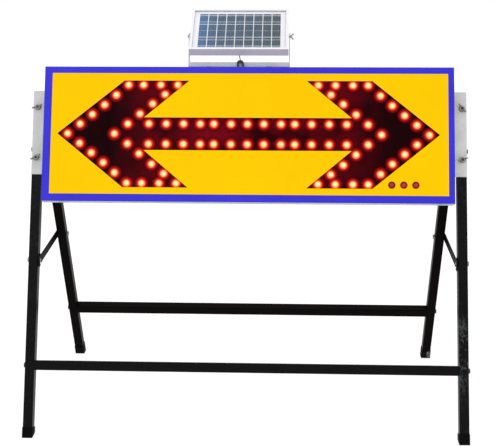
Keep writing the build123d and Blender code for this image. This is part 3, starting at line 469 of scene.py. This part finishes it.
# ---------------------------------------------------------------- busbars printed on the solar cells
def panel_pt(x, w, h):
    return PAN_MID + Vector((x, 0, 0)) + UP * w + NP * h


def strip_mesh(name, rects, h):
    me = bpy.data.meshes.new(name)
    bm = bmesh.new()
    for x0, x1, w0, w1 in rects:
        vs = [bm.verts.new(panel_pt(x, w, h)) for x, w in ((x0, w0), (x1, w0), (x1, w1), (x0, w1))]
        bm.faces.new(vs)
    bm.to_mesh(me); bm.free()
    ob = bpy.data.objects.new(name, me)
    bpy.context.scene.collection.objects.link(ob)
    return ob


bars = []
CELL_TOP, CELL_H = -0.0046 + 0.0761, 0.1522
for f, hw in ((0.05, 0.0010), (0.31, 0.0010), (0.69, 0.0010), (0.95, 0.0010), (0.225, 0.0004), (0.775, 0.0004)):
    w = CELL_TOP - f * CELL_H
    for col in range(9):
        x = (col - 4) * 0.0273
        bars.append((x - 0.01245, x + 0.01245, w - hw, w + hw))
bus = strip_mesh("cell_busbars", bars, 0.0125 - 0.0043 + 0.0003 + 0.00006)
bus_m = Mat("busbar").set(metal=0.2, rough=0.45)
bus_m.use(bus_m.ramp(bus_m.noise(90, 3, 0.5), (0.3, (0.66, 0.74, 0.80)), (0.7, (0.80, 0.86, 0.90))), "Base Color")
bus.data.materials.append(bus_m.m)
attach(bus, "panel")

# ---------------------------------------------------------------- panel cable, one smooth line
ROUTE = [(-0.0230, 0.083336, 1.031137), (-0.0284, 0.092974, 1.056371), (-0.036557, 0.124196, 1.087551), (-0.0368, 0.1278, 1.0910)]
cu = bpy.data.curves.new("cable_line", "CURVE")
cu.dimensions = "3D"
cu.resolution_u = 24
sp = cu.splines.new("NURBS")
sp.points.add(len(ROUTE) - 1)
for p, c in zip(sp.points, ROUTE):
    p.co = (*c, 1.0)
sp.order_u = 3
sp.use_endpoint_u = True
line_ob = bpy.data.objects.new("cable_line", cu)
bpy.context.scene.collection.objects.link(line_ob)
bpy.context.view_layer.update()
dg = bpy.context.evaluated_depsgraph_get()
lm = bpy.data.meshes.new_from_object(line_ob.evaluated_get(dg))
pts = [Vector(v.co) for v in lm.vertices]
bpy.data.objects.remove(line_ob)
bpy.data.meshes.remove(lm)
me = bpy.data.meshes.new("panel_lead")
bm = bmesh.new()
prev = None
SEG = 20
for i, p in enumerate(pts):
    t = (pts[min(i + 1, len(pts) - 1)] - pts[max(i - 1, 0)]).normalized()
    a = Vector((1, 0, 0)); b = t.cross(a).normalized()
    ring = [bm.verts.new(p + (a * math.cos(2 * math.pi * k / SEG) + b * math.sin(2 * math.pi * k / SEG)) * 0.0018) for k in range(SEG)]
    if prev:
        for k in range(SEG):
            bm.faces.new((prev[k], prev[(k + 1) % SEG], ring[(k + 1) % SEG], ring[k])).smooth = True
    else:
        bm.faces.new(ring)
    prev = ring
bm.faces.new(list(reversed(prev)))
bmesh.ops.recalc_face_normals(bm, faces=bm.faces)
bm.to_mesh(me); bm.free()
lead = bpy.data.objects.new("panel_lead", me)
bpy.context.scene.collection.objects.link(lead)
me.materials.append(cable_m.m)
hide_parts("panel_cable")
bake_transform(lead)

# ---------------------------------------------------------------- smooth shading on the CAD nodes
for nm, o in nodes.items():
    o.data.set_sharp_from_angle(angle=math.radians(32))
    for p in o.data.polygons:
        p.use_smooth = True

# ---------------------------------------------------------------- stage, light, camera
floor_me = bpy.data.meshes.new("floor")
floor_me.from_pydata([(-12, -8, 0), (12, -8, 0), (12, 14, 0), (-12, 14, 0)], [], [(0, 1, 2, 3)])
floor = bpy.data.objects.new("floor", floor_me)
bpy.context.scene.collection.objects.link(floor)
fl = Mat("floor_white").set(color=(0.32, 0.32, 0.32), rough=0.9, spec=0.0, emit=(1.0, 1.0, 1.0), power=0.78)
floor.data.materials.append(fl.m)

world = bpy.data.worlds.new("studio")
bpy.context.scene.world = world
world.use_nodes = True
bg = world.node_tree.nodes["Background"]
bg.inputs["Color"].default_value = (1.0, 1.0, 1.0, 1.0)
bg.inputs["Strength"].default_value = 1.0


def area(name, loc, target, size, power, size_y=None):
    d = bpy.data.lights.new(name, "AREA")
    d.shape = "RECTANGLE"
    d.size = size
    d.size_y = size_y or size
    d.energy = power
    o = bpy.data.objects.new(name, d)
    bpy.context.scene.collection.objects.link(o)
    o.location = loc
    o.rotation_euler = (Vector(target) - Vector(loc)).to_track_quat("-Z", "Y").to_euler()
    return o


area("key", (-1.6, -3.2, 3.4), (0, 0, 0.7), 2.6, 14)
area("fill", (2.8, -2.4, 2.2), (0, 0, 0.7), 2.4, 4)
area("back", (0, 3.2, 2.8), (0, 0, 0.5), 3.0, 5)

F_PX, CX, CD, CH = 1000.0, 0.1180, 2.5642, 1.4207
YAW, PITCH, ROLL = math.radians(-2.278), math.radians(16.645), math.radians(0.169)
fw = Vector((math.sin(YAW) * math.cos(PITCH), math.cos(YAW) * math.cos(PITCH), -math.sin(PITCH)))
rt = Vector((math.cos(YAW), -math.sin(YAW), 0))
dn = fw.cross(rt)
c, s = math.cos(ROLL), math.sin(ROLL)
r2 = rt * c + dn * s
d2 = -rt * s + dn * c
cam_d = bpy.data.cameras.new("camera")
cam_d.sensor_fit = "HORIZONTAL"
cam_d.sensor_width = 36.0
cam_d.lens = F_PX / 498.0 * 36.0
cam_d.clip_end = 100
cam = bpy.data.objects.new("camera", cam_d)
bpy.context.scene.collection.objects.link(cam)
mw = Matrix.Identity(4)
for i in range(3):
    mw[i][0], mw[i][1], mw[i][2] = r2[i], -d2[i], -fw[i]
mw[0][3], mw[1][3], mw[2][3] = CX, -CD + Y_SHIFT, CH
cam.matrix_world = mw
bpy.context.scene.camera = cam
bpy.context.scene.view_settings.view_transform = "Standard"
